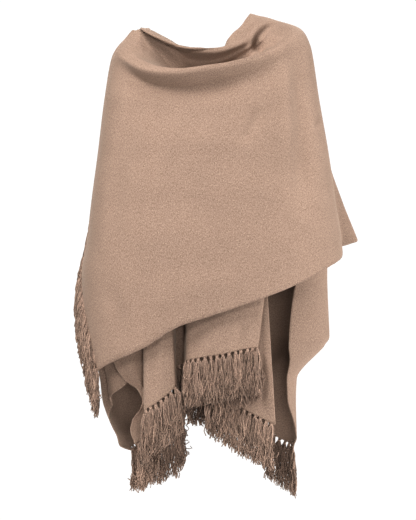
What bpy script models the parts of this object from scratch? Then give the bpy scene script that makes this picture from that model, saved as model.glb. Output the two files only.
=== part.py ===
"""Andean poncho (ruana) of felted wool, as it hangs when worn.

One woven rectangle, slit from the front hem to the neck, knotted fringe on both ends.
The wearer's left front is thrown across the chest and over the right shoulder.
Metres, +Z up, the front faces -Y, +X is the wearer's left. The origin is the middle
of the shoulders, where the wearer carries the garment.

Each stretch of cloth is a wall of even thickness on a grid of points. Angles go round the
body: 0 at the front (-Y), 90 at the wearer's left (+X), 180 at the back, -90 at the right.
"""
import bpy
import numpy as np

# Driving sizes, in metres
CLOTH = 0.0025           # wall of the felted cloth
SEAM_GAP = 0.0003        # between two stretches of cloth
FRINGE_GAP = 0.0006      # between the cloth and its fringe strip
WRAP_LIFT = 0.009        # the thrown panel lies this far outside the back
SQUARENESS = 0.15        # how far a ring round the body bulges past an ellipse

STRIP_DEPTH = 0.004      # cloth edge that carries the knots
TASSEL_LENGTH = 0.115
TASSEL_UNEVEN = 0.05     # longest and shortest, as a share of the length
TASSEL_WIDTH = 0.0078
TASSEL_THICKNESS = 0.0045
TASSEL_SHARE = 0.6       # of the pitch
TASSEL_CLEAR = 0.0085    # closest two tassels may hang
TASSEL_LIFT = 0.03       # lean out from the cloth's face
TASSEL_SECTIONS = ((0.12, 0.75), (0.45, 1.0), (1.0, 0.8))
TASSEL_SWELL = 1.3       # fullest width against the root's
UNEVEN_STEP = 2.4        # radians of the unevenness from one cell of the strip to the next

FLARE_ABOVE = 20.0       # flare of the back at the forearm, in mm
FLARE_START, FLARE_FULL = 91.0, 101.0
SEAM = 90.0              # angle of the shoulder line, where the front meets the back
WAVES_FROM, WAVES_OVER = -0.15, 0.55    # height where the back's waves start, and full depth
WAVES_GROW = 1.3

WRAP_COLUMNS, WRAP_ROWS = 33, 22
BACK_COLUMNS, BACK_ROWS = 38, 27
FAN_ROWS, LOWER_ROWS = 7, 5

MM = 0.001


def table(text):
    """Read a table: a line of column names, then one row for each section or fold.

    The first word of a row names it. Every other column becomes an array.
    """
    lines = text.strip().splitlines()
    names = lines[0].split()[1:]
    rows = np.array([[float(word) for word in line.split()[1:]] for line in lines[1:]])
    return {name: rows[:, index] for index, name in enumerate(names)}


# Level lines from the neck down, in mm. "left" and "right" are the sides of the garment as
# seen from the front (-X and +X); each has a half width and a height, the front and the back
# a depth and a height. wrap_* is the thrown panel, under_* what lies beneath it.
LEVELS = table("""
level    right right_z wrap_front wrap_front_z wrap_left wrap_left_z under_left under_left_z under_front under_front_z back back_z wrap_end slit_edge
neck       88     50       76         -47         131        19          124          8            62         -45      72   -20    -122      -50
collar    102     49       92         -32         141        14          137          2            72         -65      88   -32    -122      -48
trough    148     28      105         -82         168         2          160         -7            84         -92     106   -54    -122      -44
roll      203     14      138         -78         196       -13          186        -24            98        -120     124   -86    -121      -38
shadow    226    -24      134        -112         222       -47          211        -57           112        -150     136  -125    -118      -30
chest     247   -150      159        -178         243      -150          232       -150           132        -190     143  -180    -114      -15
elbow     267   -265      168        -270         258      -265          247       -265           150        -270     147  -270    -108        2
forearm   284   -380      174        -380         274      -380          263       -380           154        -380     149  -380    -101       14
wrist     298   -472      180        -475         286      -475          272       -475           152        -475     150  -475     -94       20
""")

# The thrown panel goes on down below the wrist, in mm, with the angle of its fringed end.
# The tips are those of its lowest tassels.
WRAP_LOW = table("""
level    right right_z wrap_front wrap_front_z wrap_left wrap_left_z back back_z wrap_end
hand      302   -540      183        -560         299      -545      152  -545      -87
thigh     292   -620      185        -640         300      -620      152  -620      -73
corner    280   -800      184        -800         288      -790      152  -790      -58
tips      274   -930      184        -930         284      -930      152  -930      -50
""")
WRAP = {name: np.append(LEVELS[name], WRAP_LOW[name]) for name in WRAP_LOW}
WRAP_LEVELS = np.arange(len(WRAP["right"]))
CORNER = WRAP_LEVELS[-2]
ELBOW = 6
HEM_TRIES = np.linspace(5, CORNER, 121)    # levels among which the hem is looked for
HEM_ROUNDS = 12
ROW_GROWTH = 1.15                          # rows lie closer at the neck than at the hem

# Lower, plain edge of the thrown panel: height in mm at each angle round the body.
WRAP_HEM = table("""
place          angle  height
fringed_corner  -60    -768
left_front      -29    -712
left_middle     -13    -664
middle            0    -640
right_middle     22    -597
right_front      57    -532
right_side       80    -508
side_seam        90    -492
""")

# The back below the wrist, in mm: half widths, how far it flares out behind the side seam,
# depth of the back, and the depth that its two sides reach as they curl round to the front;
# then the angles of its two free edges.
BACK_LOW = table("""
level      height right flare back left front_right front_left right_edge left_edge
flare_tip   -472   298   42    150  272     130         110          90       -90
flare_under -481   287   34    151  272     126         108          90       -90
tuck        -500   266    5    152  272     124         105          78       -88
hip         -560   265    0    154  271     124         100          43       -82
bulge       -690   270    0    156  268     120          90          36       -64
below_bulge -715   258    0    156  266     116          88          37       -58
knee        -789   195    0    155  258     104          84          57       -55
calf        -840   193    0    153  252      96          78          62       -82
shin        -925   195    0    151  218      92          72          88      -104
corners     -960   189    0    148  205      90          70         101      -122
""")

BACK_TOP = len(LEVELS["right"]) - 1        # the wrist is the back's own first level line
FIXED_EDGE = np.full(BACK_TOP, SEAM)
BACK = {name: np.append(upper[:BACK_TOP], BACK_LOW[lower]) for name, upper, lower in (
    ("right", LEVELS["right"], "right"),
    ("right_z", LEVELS["right_z"], "height"),
    ("left", LEVELS["under_left"], "left"),
    ("left_z", LEVELS["under_left_z"], "height"),
    ("back", LEVELS["back"], "back"),
    ("back_z", LEVELS["back_z"], "height"),
    ("front_right", LEVELS["wrap_front"], "front_right"),
    ("front_left", LEVELS["under_front"], "front_left"),
    ("flare", np.append(np.zeros(BACK_TOP - 1), FLARE_ABOVE), "flare"),
    ("right_edge", FIXED_EDGE, "right_edge"),
    ("left_edge", -FIXED_EDGE, "left_edge"))}
BACK_LEVELS = np.arange(len(BACK["right"]))

# Hem of the back: height in mm, by the share of the way round from its right edge.
BACK_HEM = table("""
place        along height
right_corner  0.00  -941
right_back    0.25  -900
middle        0.50  -790
left_back     0.74  -880
left_corner   1.00  -958
""")

# Folds of the under panel from its outer edge to its slit edge, in mm: where each lies at
# the height where it comes out from under the thrown panel, and at its hem. "swing" says how
# late the fold moves from the one place to the other.
UNDER_TOP = -0.600
FOLD_STEP = 16           # columns of the under panel, in mm along its folds
FAN_ACROSS, FAN_AHEAD = 1.2, 0.6    # the folds open to the front before they open sideways
UNDER_FOLDS = table("""
fold           along top_x top_y hem_x hem_y hem_z swing
outer_edge        0  -245   -30  -108   -62  -912   2.3
outer_middle     45  -210   -82  -135   -78  -895   2.2
valley           85  -166  -108  -157  -100  -880   1.0
c_left           97  -161  -128  -153  -126  -875   1.0
c_middle        135  -127  -147  -120  -150  -842   1.0
c_right         173   -94  -142   -81  -142  -802   1.0
c_turn          186   -88  -124   -77  -124  -785   1.0
recess          205   -98  -106   -88  -106  -762   1.0
recess_end      226   -70  -107   -67  -108  -744   1.0
a_left          248   -57  -137   -57  -137  -741   1.0
a_quarter       280   -22  -156   -22  -156  -734   1.0
a_middle        320    20  -162    20  -162  -726   1.0
a_right         385    76  -158    98  -158  -710   1.0
a_turn          397    84  -146   106  -147  -712   1.0
return_start    410    78  -135    97  -136  -722   1.0
return_middle   455    60  -129    42  -130  -750   1.0
return_turn     500    44  -118    -2  -118  -786   1.0
b_turn          513    45  -107    -4  -108  -796   1.0
b_start         530    56  -104    10  -103  -808   1.0
b_middle        595    90  -104    75  -105  -850   1.0
slit_edge       665   129  -106   150  -110  -886   1.0
""")

# How fast the tassels of the thrown end drift round the arm, in degrees for each level.
END_DRIFT = table("""
place     level drift
shoulder    0     9
arm         6     8
wrist       9     5
corner     11     3
""")

# Soft waves that run down the back to its hem: where, how far in (+) or out (-), how wide.
BACK_WAVES = table("""
wave         angle  depth width
right_side     112    -9    11
right_back     134    14    10
back_right     155   -12    10
back_middle    178    13    11
back_left      200   -12    10
left_back      219    11     9
""")


def smooth(knots, values, at):
    """Cubic curve through the rows of a table that never overshoots them.

    Slopes at the rows are the harmonic means of the slopes on both sides (Fritsch-Carlson),
    and 0 where the values turn.
    """
    knots, values, at = (np.asarray(item, dtype=float) for item in (knots, values, at))
    steps = np.diff(knots)
    slopes = np.diff(values) / steps
    tangents = np.empty_like(values)
    tangents[0], tangents[-1] = slopes[0], slopes[-1]
    same_way = slopes[:-1] * slopes[1:] > 0
    safe = np.where(same_way, slopes[:-1] + slopes[1:], 1.0)
    tangents[1:-1] = np.where(same_way, 2 * slopes[:-1] * slopes[1:] / safe, 0.0)
    at = np.clip(at, knots[0], knots[-1])
    piece = np.clip(np.searchsorted(knots, at) - 1, 0, len(steps) - 1)
    width = steps[piece]
    part = (at - knots[piece]) / width
    return ((2 * part ** 3 - 3 * part ** 2 + 1) * values[piece]
            + (part ** 3 - 2 * part ** 2 + part) * width * tangents[piece]
            + (3 * part ** 2 - 2 * part ** 3) * values[piece + 1]
            + (part ** 3 - part ** 2) * width * tangents[piece + 1])


def ring(angle, right, left, front, back, side_z, middle_z):
    """Points round the body: an ellipse with its own size each way, a little squared.

    Heights run from middle_z at the front and back to side_z at the sides.
    """
    turn = np.radians(angle)
    across, ahead = np.sin(turn), np.cos(turn)
    x = np.where(across > 0, right, left) * across * (1 + SQUARENESS * ahead ** 2)
    y = -np.where(ahead > 0, front, back) * ahead * (1 + SQUARENESS * across ** 2)
    z = side_z * across ** 2 + middle_z * ahead ** 2
    return np.stack([x, y, z], axis=-1)


def blend(start, end, share):
    """Move from start to end by share, which may be an array."""
    return start + (end - start) * share


def soft_step(share):
    """0 to 1 with a level start and end."""
    return share ** 2 * (3 - 2 * share)


def wrap_points(angle, level):
    """Outer face of the thrown panel: level 0 is its neck edge, CORNER its lowest corner."""
    row = {name: smooth(WRAP_LEVELS, column * MM, level) for name, column in WRAP.items()}
    over_back = WRAP_LIFT * np.clip(1 - level / HEM_TRIES[0], 0, 1)
    side_z = np.where(angle > 0, row["right_z"], row["wrap_left_z"])
    middle_z = np.where(np.abs(angle) < SEAM, row["wrap_front_z"], row["back_z"] + over_back)
    return ring(angle, row["right"], row["wrap_left"], row["wrap_front"],
                row["back"] + WRAP_LIFT, side_z, middle_z)


def wrap_end(level):
    """Angle of the fringed end of the thrown panel at each level."""
    return smooth(WRAP_LEVELS, WRAP["wrap_end"], level)


def wrap_grid():
    """Grid of the thrown panel: columns from its fringed end to the side seam, rows down.

    The level of each point is moved until the last row lies on the hem.
    """
    along = np.linspace(0, 1, WRAP_COLUMNS)[:, None]
    down = np.linspace(0, 1, WRAP_ROWS)[None, :] ** ROW_GROWTH
    level = CORNER * down * np.ones_like(along)
    for _ in range(HEM_ROUNDS):
        angle = blend(wrap_end(level), SEAM, along)
        hem = smooth(WRAP_HEM["angle"], WRAP_HEM["height"] * MM, angle)
        heights = wrap_points(angle[..., None], HEM_TRIES[None, None, :])[..., 2]
        lowest = HEM_TRIES[np.argmin(np.abs(heights - hem[..., None]), axis=-1)]
        level = blend(level, lowest * down, 0.7)
    return wrap_points(angle, level), level


def back_points(angle, level):
    """Outer face of the back panel; angles past 180 go on round to the left side."""
    row = {name: smooth(BACK_LEVELS, column * MM, level) for name, column in BACK.items()}
    opened = soft_step(np.clip((angle - FLARE_START) / (FLARE_FULL - FLARE_START), 0, 1))
    on_right = angle < 180
    return ring(angle, row["right"] + row["flare"] * opened, row["left"],
                np.where(on_right, row["front_right"], row["front_left"]), row["back"],
                np.where(on_right, row["right_z"], row["left_z"]), row["back_z"])


def back_grid():
    """Grid of the back panel: columns from its right edge round the back to its left edge."""
    along = np.linspace(0, 1, BACK_COLUMNS)[:, None]
    down = np.linspace(0, 1, BACK_ROWS)[None, :]
    hem = smooth(BACK_HEM["along"], BACK_HEM["height"], along)
    level = down * np.interp(-hem, -BACK["back_z"], BACK_LEVELS)
    right = smooth(BACK_LEVELS, BACK["right_edge"], level)
    left = smooth(BACK_LEVELS, BACK["left_edge"], level) + 360
    angle = blend(right, left, along)
    points = back_points(angle, level)
    wave = sum(depth * np.exp(-((angle - centre) / width) ** 2) for centre, depth, width in
               zip(BACK_WAVES["angle"], BACK_WAVES["depth"], BACK_WAVES["width"]))
    strength = np.clip((WAVES_FROM - points[..., 2]) / WAVES_OVER, 0, 1) ** WAVES_GROW
    turn = np.radians(angle)
    inward = np.stack([-np.sin(turn), np.cos(turn), np.zeros_like(turn)], axis=-1)
    return points + inward * (wave * MM * strength)[..., None]


def fold_columns():
    """Places along the hem of the under panel: each stretch of a fold in short equal steps."""
    along = UNDER_FOLDS["along"]
    steps = np.maximum(np.round(np.diff(along) / FOLD_STEP), 2).astype(int)
    return np.concatenate([np.linspace(start, end, count, endpoint=False) for start, end, count
                           in zip(along[:-1], along[1:], steps)] + [along[-1:]])


def under_grid():
    """Grid of the under panel: columns from its outer edge to its slit edge, rows down.

    It lies smooth over the shoulder, its folds fan out below that, and hang from there on.
    """
    along = fold_columns()
    share = (along / along[-1])[:, None]
    fold = {name: smooth(UNDER_FOLDS["along"], UNDER_FOLDS[name], along)[:, None]
            for name in UNDER_FOLDS}
    level_rows = np.arange(len(LEVELS["right"]))
    last = level_rows[-1]
    fan = np.linspace(0, 1, FAN_ROWS + 1)[None, 1:]
    level = np.append(level_rows[:ELBOW + 1], blend(ELBOW, last, fan[0]))[None, :]

    def column(name):
        return smooth(level_rows, LEVELS[name] * MM, level)

    slit = smooth(level_rows, LEVELS["slit_edge"], level)
    upper = ring(blend(-SEAM, slit, share), 0, column("under_left"), column("under_front"), 0,
                 column("under_left_z"), column("under_front_z"))
    fan_top = LEVELS["under_front_z"][ELBOW] * MM
    upper[:, ELBOW + 1:, 2] = blend(fan_top, UNDER_TOP, fan)
    eased = soft_step(fan)
    opened = np.stack([eased ** FAN_ACROSS, eased ** FAN_AHEAD, eased], axis=-1)
    folded = np.stack([fold["top_x"] * MM, fold["top_y"] * MM,
                       np.full_like(share, UNDER_TOP)], axis=-1)
    fanned = blend(upper[:, ELBOW + 1:], folded, opened)
    fanned[..., 2] = upper[:, ELBOW + 1:, 2]

    down = np.linspace(0, 1, LOWER_ROWS + 1)[None, 1:]
    move = down ** fold["swing"]
    x = blend(fold["top_x"], fold["hem_x"], move) * MM
    y = blend(fold["top_y"], fold["hem_y"], move) * MM
    z = blend(UNDER_TOP, fold["hem_z"] * MM, down) + np.zeros_like(x)
    hanging = np.stack([x, y, z], axis=-1)
    return np.concatenate([upper[:, :ELBOW + 1], fanned, hanging], axis=1)


def unit(vectors):
    return vectors / np.linalg.norm(vectors, axis=-1, keepdims=True)


def face_normals(grid):
    """Outward unit normals of a grid whose columns run towards +X at the front."""
    return unit(np.cross(np.gradient(grid, axis=1), np.gradient(grid, axis=0)))


def open_seam(grid, normals, column, side):
    """Square one edge column of a panel to the seam plane y = 0 and draw it back half a gap."""
    on_seam = np.abs(grid[column, :, 1]) < CLOTH
    normals[column, on_seam, 1] = 0.0
    normals[column] = unit(normals[column])
    grid[column, on_seam, 1] = side * SEAM_GAP / 2


def wall_mesh(name, outer, normals, thickness):
    """Closed wall: the outer grid, the same grid moved in by the thickness, and the rims."""
    inner = outer - normals * thickness
    columns, rows = outer.shape[:2]
    count = columns * rows
    index = np.arange(count).reshape(columns, rows)
    quads = []

    def add(first, second, third, fourth):
        quads.append(np.stack([first, second, third, fourth], axis=-1).reshape(-1, 4))

    add(index[:-1, :-1], index[:-1, 1:], index[1:, 1:], index[1:, :-1])
    add(*(count + corner for corner in
          (index[:-1, :-1], index[1:, :-1], index[1:, 1:], index[:-1, 1:])))
    for edge in (index[0, ::-1], index[:, 0], index[-1, :], index[::-1, -1]):
        add(edge[:-1], edge[1:], edge[1:] + count, edge[:-1] + count)
    vertices = np.concatenate([outer.reshape(-1, 3), inner.reshape(-1, 3)])
    return finish_mesh(name, vertices, np.concatenate(quads))


def signed_volume(vertices, quads):
    """Six times the volume inside the faces, negative if they point in."""
    corners = vertices[quads]
    first = np.cross(corners[:, 1], corners[:, 2])
    second = np.cross(corners[:, 2], corners[:, 3])
    return float(np.sum(corners[:, 0] * first) + np.sum(corners[:, 0] * second))


def finish_mesh(name, vertices, quads):
    """Make a mesh with its faces pointing out and shaded smooth."""
    if signed_volume(vertices, quads) < 0:
        quads = quads[:, ::-1]
    mesh = bpy.data.meshes.new(name)
    mesh.from_pydata(vertices.tolist(), [], quads.tolist())
    mesh.update()
    mesh.shade_smooth()
    return mesh


def tassel_roots(edge, normals, per_cell, out_of):
    """Points along a cloth edge where tassels start and end, with the directions there.

    Each cell of the cloth's grid carries per_cell tassels, with a bare stretch after each.
    Returns their places on the grid, the points, the wall's step in from them, and the way
    out of the cloth.
    """
    cells = len(edge) - 1
    starts = (np.arange(cells * per_cell) / per_cell)[:, None] + [0, TASSEL_SHARE / per_cell]
    at = np.append(starts.ravel(), cells)

    def carry(rows):
        return np.stack([np.interp(at, np.arange(cells + 1), rows[:, axis])
                         for axis in range(3)], axis=1)

    beyond = unit(np.cross(normals, unit(np.gradient(edge, axis=0))))
    beyond *= np.sign(np.sum(beyond * out_of, axis=1))[:, None]
    return at, carry(edge), carry(normals) * CLOTH, unit(carry(beyond))


def straight_down(at, root, normal):
    """Centres of the sections of tassels that hang free."""
    down = np.array([0.0, 0.0, -1.0]) + normal * TASSEL_LIFT
    shares = np.array(TASSEL_SECTIONS)[:, 0]
    return root[:, None] + down[:, None] * (shares * TASSEL_LENGTH)[None, :, None]


def down_the_arm(levels):
    """Make a path for tassels that lie down the slope of the shoulder and arm.

    levels holds the level of each grid row of the fringed end. A tassel follows the thrown
    panel's own form past its edge, and drifts round it as it goes down.
    """
    def path(at, root, normal):
        start = np.interp(at, np.arange(len(levels)), levels)[:, None]
        reach = np.linspace(0, 3, 91)[None, :]
        drift = np.interp(start, END_DRIFT["level"], END_DRIFT["drift"])
        route = wrap_points(wrap_end(start) - drift * reach, start + reach)
        steps = np.linalg.norm(np.diff(route, axis=1), axis=-1)
        walked = np.concatenate([np.zeros_like(start), np.cumsum(steps, axis=1)], axis=1)
        centres = []
        for share, _ in TASSEL_SECTIONS:
            place = [[np.interp(share * TASSEL_LENGTH, walked[row], route[row, :, axis])
                      for axis in range(3)] for row in range(len(root))]
            lift = normal * TASSEL_LENGTH * TASSEL_LIFT * share
            centres.append(np.array(place) + (root - route[:, 0]) * (1 - share) + lift)
        return np.stack(centres, axis=1)
    return path


def fringe_mesh(name, edge, normals, per_cell, out_of, path):
    """Knotted fringe: a strip past the cloth's edge, and tassels grown from its cells.

    path gives the centres of each tassel's sections, from its place and root.
    """
    at, edge, step, beyond = tassel_roots(edge, normals, per_cell, out_of)
    count = len(edge)
    near = edge + beyond * FRINGE_GAP
    far = near + beyond * STRIP_DEPTH
    normal = unit(step)
    roots = (far[:-1] + far[1:] - step[:-1]) / 2
    centres = path(at[:-1], roots, normal[:-1])
    hang = unit(centres[:, -1] - roots)

    widths = {}
    for cell in range(0, count - 1, 2):
        kept = list(widths)
        apart = roots[kept] - roots[cell]
        apart = apart - hang[cell] * (apart @ hang[cell])[:, None]
        clear = np.min(np.linalg.norm(apart, axis=1)) if kept else 1.0
        if clear > TASSEL_CLEAR:
            across = edge[cell + 1] - edge[cell]
            across = np.linalg.norm(across - hang[cell] * (across @ hang[cell]))
            widths[cell] = min(TASSEL_WIDTH, TASSEL_SHARE * clear, across * TASSEL_SWELL)

    vertices = [near, far, far - step, near - step]
    quads = []
    for side in range(4):
        this, following = side * count, (side + 1) % 4 * count
        for cell in range(count - 1):
            if side != 1 or cell not in widths:
                quads.append([this + cell, this + cell + 1,
                              following + cell + 1, following + cell])
    quads.append([0, count, 2 * count, 3 * count])
    quads.append([4 * count - 1, 3 * count - 1, 2 * count - 1, count - 1])

    total = 4 * count
    for cell, width in widths.items():
        root = [count + cell, count + cell + 1, 2 * count + cell + 1, 2 * count + cell]
        side = unit(np.cross(np.cross(hang[cell], edge[cell + 1] - edge[cell]), hang[cell]))
        out = np.cross(side, hang[cell])
        out = out * np.sign(out @ normal[cell])
        stretch = 1 + TASSEL_UNEVEN * np.sin(UNEVEN_STEP * cell)
        for centre, (share, fullness) in zip(centres[cell], TASSEL_SECTIONS):
            middle = roots[cell] + (centre - roots[cell]) * stretch
            wide = side * width * fullness / 2
            deep = out * TASSEL_THICKNESS * fullness / 2
            vertices.append(np.array([middle - wide + deep, middle + wide + deep,
                                      middle + wide - deep, middle - wide - deep]))
            loop = [total, total + 1, total + 2, total + 3]
            for corner in range(4):
                after = (corner + 1) % 4
                quads.append([root[corner], root[after], loop[after], loop[corner]])
            root = loop
            total += 4
        quads.append(root)
    return finish_mesh(name, np.concatenate(vertices), np.array(quads))


def cloth_material(name, colour):
    """Matt felted wool."""
    material = bpy.data.materials.new(name)
    material.use_nodes = True
    shader = material.node_tree.nodes["Principled BSDF"]
    shader.inputs["Base Color"].default_value = (*colour, 1.0)
    shader.inputs["Roughness"].default_value = 0.95
    shader.inputs["Metallic"].default_value = 0.0
    return material


def place(mesh, material, parent):
    """Put a finished mesh in the scene as the part's own object."""
    node = bpy.data.objects.new(mesh.name, mesh)
    mesh.materials.append(material)
    bpy.context.collection.objects.link(node)
    node.parent = parent
    return node


def build():
    """Make every node of the garment."""
    for item in list(bpy.data.objects):
        bpy.data.objects.remove(item, do_unlink=True)

    garment = bpy.data.objects.new("garment", None)
    bpy.context.collection.objects.link(garment)
    cloth = cloth_material("felted_wool", (0.52, 0.38, 0.28))
    yarn = cloth_material("fringe_yarn", (0.40, 0.28, 0.21))

    wrap, wrap_levels = wrap_grid()
    wrap_normals = face_normals(wrap)
    open_seam(wrap, wrap_normals, -1, -1)
    back = back_grid()
    back_normals = face_normals(back)
    open_seam(back, back_normals, 0, 1)
    open_seam(back, back_normals, -1, 1)
    under = under_grid()
    under_normals = face_normals(under)
    open_seam(under, under_normals, 0, -1)

    place(wall_mesh("wrap_panel", wrap, wrap_normals, CLOTH), cloth, garment)
    place(wall_mesh("back_panel", back, back_normals, CLOTH), cloth, garment)
    place(wall_mesh("under_panel", under, under_normals, CLOTH), cloth, garment)
    place(fringe_mesh("wrap_fringe", wrap[0], wrap_normals[0], 2, wrap[0] - wrap[1],
                      down_the_arm(wrap_levels[0])), yarn, garment)
    place(fringe_mesh("back_fringe", back[:, -1], back_normals[:, -1], 2,
                      back[:, -1] - back[:, -2], straight_down), yarn, garment)
    place(fringe_mesh("under_fringe", under[:, -1], under_normals[:, -1], 1,
                      under[:, -1] - under[:, -2], straight_down), yarn, garment)


build()
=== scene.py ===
# %% [markdown]
# # An Andean poncho of felted wool, worn open and thrown over the shoulder
#
# The real garment is one rectangle from the loom, about 1.4 by 1.9 metres, slit from the
# middle of one end to the neck and knotted into a fringe at both ends. Nothing shapes it but
# the way it hangs. Here the wearer has thrown the left front across the chest and over the
# right shoulder, so three stretches of the same cloth show: the thrown panel, the under panel
# below it and the back.
#
# A garment like this could be draped by simulation. It is drawn here instead, as
# smooth surfaces through a few level lines round the body, because the folds of this one
# drape are known and a simulation would find others.

import bpy
import numpy as np
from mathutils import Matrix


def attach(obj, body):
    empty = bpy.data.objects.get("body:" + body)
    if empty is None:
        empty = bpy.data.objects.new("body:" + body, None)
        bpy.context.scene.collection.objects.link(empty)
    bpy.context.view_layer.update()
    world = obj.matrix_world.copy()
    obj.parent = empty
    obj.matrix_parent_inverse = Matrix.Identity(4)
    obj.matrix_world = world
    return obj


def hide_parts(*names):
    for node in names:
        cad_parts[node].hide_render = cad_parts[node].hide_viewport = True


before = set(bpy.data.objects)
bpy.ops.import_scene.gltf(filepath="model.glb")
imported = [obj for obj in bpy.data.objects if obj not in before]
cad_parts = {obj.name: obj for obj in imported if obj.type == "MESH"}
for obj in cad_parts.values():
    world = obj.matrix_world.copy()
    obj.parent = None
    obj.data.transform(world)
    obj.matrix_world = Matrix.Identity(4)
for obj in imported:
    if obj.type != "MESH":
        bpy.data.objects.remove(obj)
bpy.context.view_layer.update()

# %% [markdown]
# ## Sizes
#
# The cloth is woven 1.4 m wide, brushed and felted until it is 2.5 mm thick. Every fringe is
# made of warp ends that run on past the cloth: they are gathered 14 mm at a time, knotted,
# and left 115 mm long.

# %% Sizes in metres, angles in degrees
MM = 0.001
CLOTH = 0.0025
SEAM_GAP = 0.0003
WRAP_LIFT = 0.009
RIM_SWELL = 0.3
SEAM_FADE = 6.0
SQUARENESS = 0.15
LOOM_WIDTH = 1.40
CUT_LENGTH = 1.90
KNOT_PITCH = 0.014
TASSEL_LENGTH = 0.115
print("a cloth of", LOOM_WIDTH, "by", CUT_LENGTH, "m,", round(LOOM_WIDTH / KNOT_PITCH),
      "knots at each end")

# %% [markdown]
# ## Level lines
#
# A tailor would describe the drape by tape measurements at a few heights: so wide to the
# right, so wide to the left, so deep in front and behind. A short table holds exactly that,
# in millimetres, with a height for each side because a level line dips at the front and
# rides up over the shoulders. "left" and "right" are as seen from the front.

# %% Read a table of named columns
def table(text):
    """A line of column names, then a row for each section or fold, which its first word names."""
    lines = text.strip().splitlines()
    rows = np.array([[float(word) for word in line.split()[1:]] for line in lines[1:]])
    return dict(zip(lines[0].split()[1:], rows.T))


LEVELS = table("""
level   right right_z front front_z left left_z back back_z  end
neck       88      46    76     -47  146     16   72    -24 -106
collar    118      42    92     -40  164     14   88    -34 -114
trough    150      33   105     -86  180      9  106    -54 -121
roll      203      14   138     -80  202    -10  124    -86 -121
shadow    226     -24   134    -112  229    -47  136   -125 -118
chest     247    -150   159    -178  248   -150  143   -180 -114
elbow     267    -265   168    -270  262   -265  147   -270 -108
forearm   284    -380   174    -380  277   -380  149   -380 -101
wrist     298    -472   180    -475  288   -475  150   -475  -94
""")
UNDER = table("""
level   left left_z front front_z slit
neck     126      1    62     -45  -50
collar   142      2    72     -65  -48
trough   166     -5    84     -98  -44
roll     191    -24    98    -120  -38
shadow   217    -57   112    -150  -30
chest    237   -150   132    -190  -15
elbow    251   -265   150    -270    2
forearm  266   -380   154    -380   14
wrist    274   -475   152    -475   20
""")
WRAP_LOW = table("""
level  right right_z front front_z left left_z back back_z end
hand     302    -540   183    -560  299   -545  152   -545 -87
thigh    292    -620   185    -640  300   -620  152   -620 -73
corner   280    -800   184    -800  288   -790  152   -790 -58
tips     274    -930   184    -930  284   -930  152   -930 -50
""")
BACK_LOW = table("""
level       height right flare back left front_right front_left right_edge left_edge
flare_tip     -472   298    42  150  288         130        110         90       -90
flare_under   -481   287    34  151  288         126        108         90       -90
tuck          -500   266     5  152  289         124        105         78       -88
hip           -560   265     0  154  290         124        100         42       -80
bulge         -690   270     0  156  286         120         90         36       -60
below_bulge   -715   258     0  156  279         116         88         38       -50
knee          -789   195     0  155  258         104         84         57       -44
calf          -840   193     0  153  252          96         78         60       -69
shin          -925   195     0  151  221          92         72         89       -97
ankle         -945   190     0  149  216          91         71         97       -98
corners       -966   187     0  148  202          90         70        103      -121
""")
print("level lines:", len(LEVELS["right"]) + len(WRAP_LOW["right"]), "in front,",
      len(LEVELS["right"]) - 1 + len(BACK_LOW["right"]), "behind")

# %% [markdown]
# ## From a few lines to a smooth surface
#
# Between two level lines the cloth passes smoothly, and it must not swing past either of
# them. A plain spline would overshoot where two lines lie close together, as at the neck.
# The Fritsch-Carlson cubic doesn't: its slope at a line is the harmonic mean of the slopes on
# both sides, and flat where they turn.

# %% Curves through table rows
def smooth(knots, values, at):
    """Cubic through (knots, values) read at `at`: h00 v0 + h10 w t0 + h01 v1 + h11 w t1."""
    knots, values, at = (np.asarray(item, dtype=float) for item in (knots, values, at))
    steps = np.diff(knots)
    slopes = np.diff(values) / steps
    tangents = np.empty_like(values)
    tangents[0], tangents[-1] = slopes[0], slopes[-1]
    same_way = slopes[:-1] * slopes[1:] > 0
    total = np.where(same_way, slopes[:-1] + slopes[1:], 1.0)
    tangents[1:-1] = np.where(same_way, 2 * slopes[:-1] * slopes[1:] / total, 0.0)
    at = np.clip(at, knots[0], knots[-1])
    piece = np.clip(np.searchsorted(knots, at) - 1, 0, len(steps) - 1)
    width = steps[piece]
    part = (at - knots[piece]) / width
    return ((2 * part ** 3 - 3 * part ** 2 + 1) * values[piece]
            + (part ** 3 - 2 * part ** 2 + part) * width * tangents[piece]
            + (3 * part ** 2 - 2 * part ** 3) * values[piece + 1]
            + (part ** 3 - part ** 2) * width * tangents[piece + 1])


def columns_at(lines, knots, at, scale=MM):
    """Every column of a table read at `at`: smooth(knots, scale * column, at)."""
    return {name: smooth(knots, column * scale, at) for name, column in lines.items()}


def soft_step(share):
    """0 to 1 with level ends: 3 s^2 - 2 s^3, after clipping s to 0..1."""
    share = np.clip(share, 0, 1)
    return share ** 2 * (3 - 2 * share)


def blend(start, end, share):
    """start + (end - start) * share."""
    return start + (end - start) * share


def unit(vectors):
    """Vectors divided by their own lengths."""
    return vectors / np.maximum(np.linalg.norm(vectors, axis=-1, keepdims=True), 1e-12)


def outward(angle):
    """Level direction away from the body: (sin a, -cos a, 0)."""
    turn = np.radians(angle)
    return np.stack([np.sin(turn), -np.cos(turn), np.zeros_like(turn)], axis=-1)


def ring(angle, right, left, front, back, side_z, middle_z):
    """A level line: x = w sin a (1 + q cos^2 a), y = -d cos a (1 + q sin^2 a).

    Its height is side_z sin^2 a + middle_z cos^2 a; q is the squareness.
    """
    turn = np.radians(angle)
    across, ahead = np.sin(turn), np.cos(turn)
    x = np.where(across > 0, right, left) * across * (1 + SQUARENESS * ahead ** 2)
    y = -np.where(ahead > 0, front, back) * ahead * (1 + SQUARENESS * across ** 2)
    z = side_z * across ** 2 + middle_z * ahead ** 2
    return np.stack([x, y, z], axis=-1)

# %% [markdown]
# ## From a surface to cloth
#
# A surface has no thickness, so each panel is built like real felt: an outer face, an inner
# face 2.5 mm behind it and a rounded edge between them. Each point's normal is the cross
# product of the directions down and along the grid.

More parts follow.
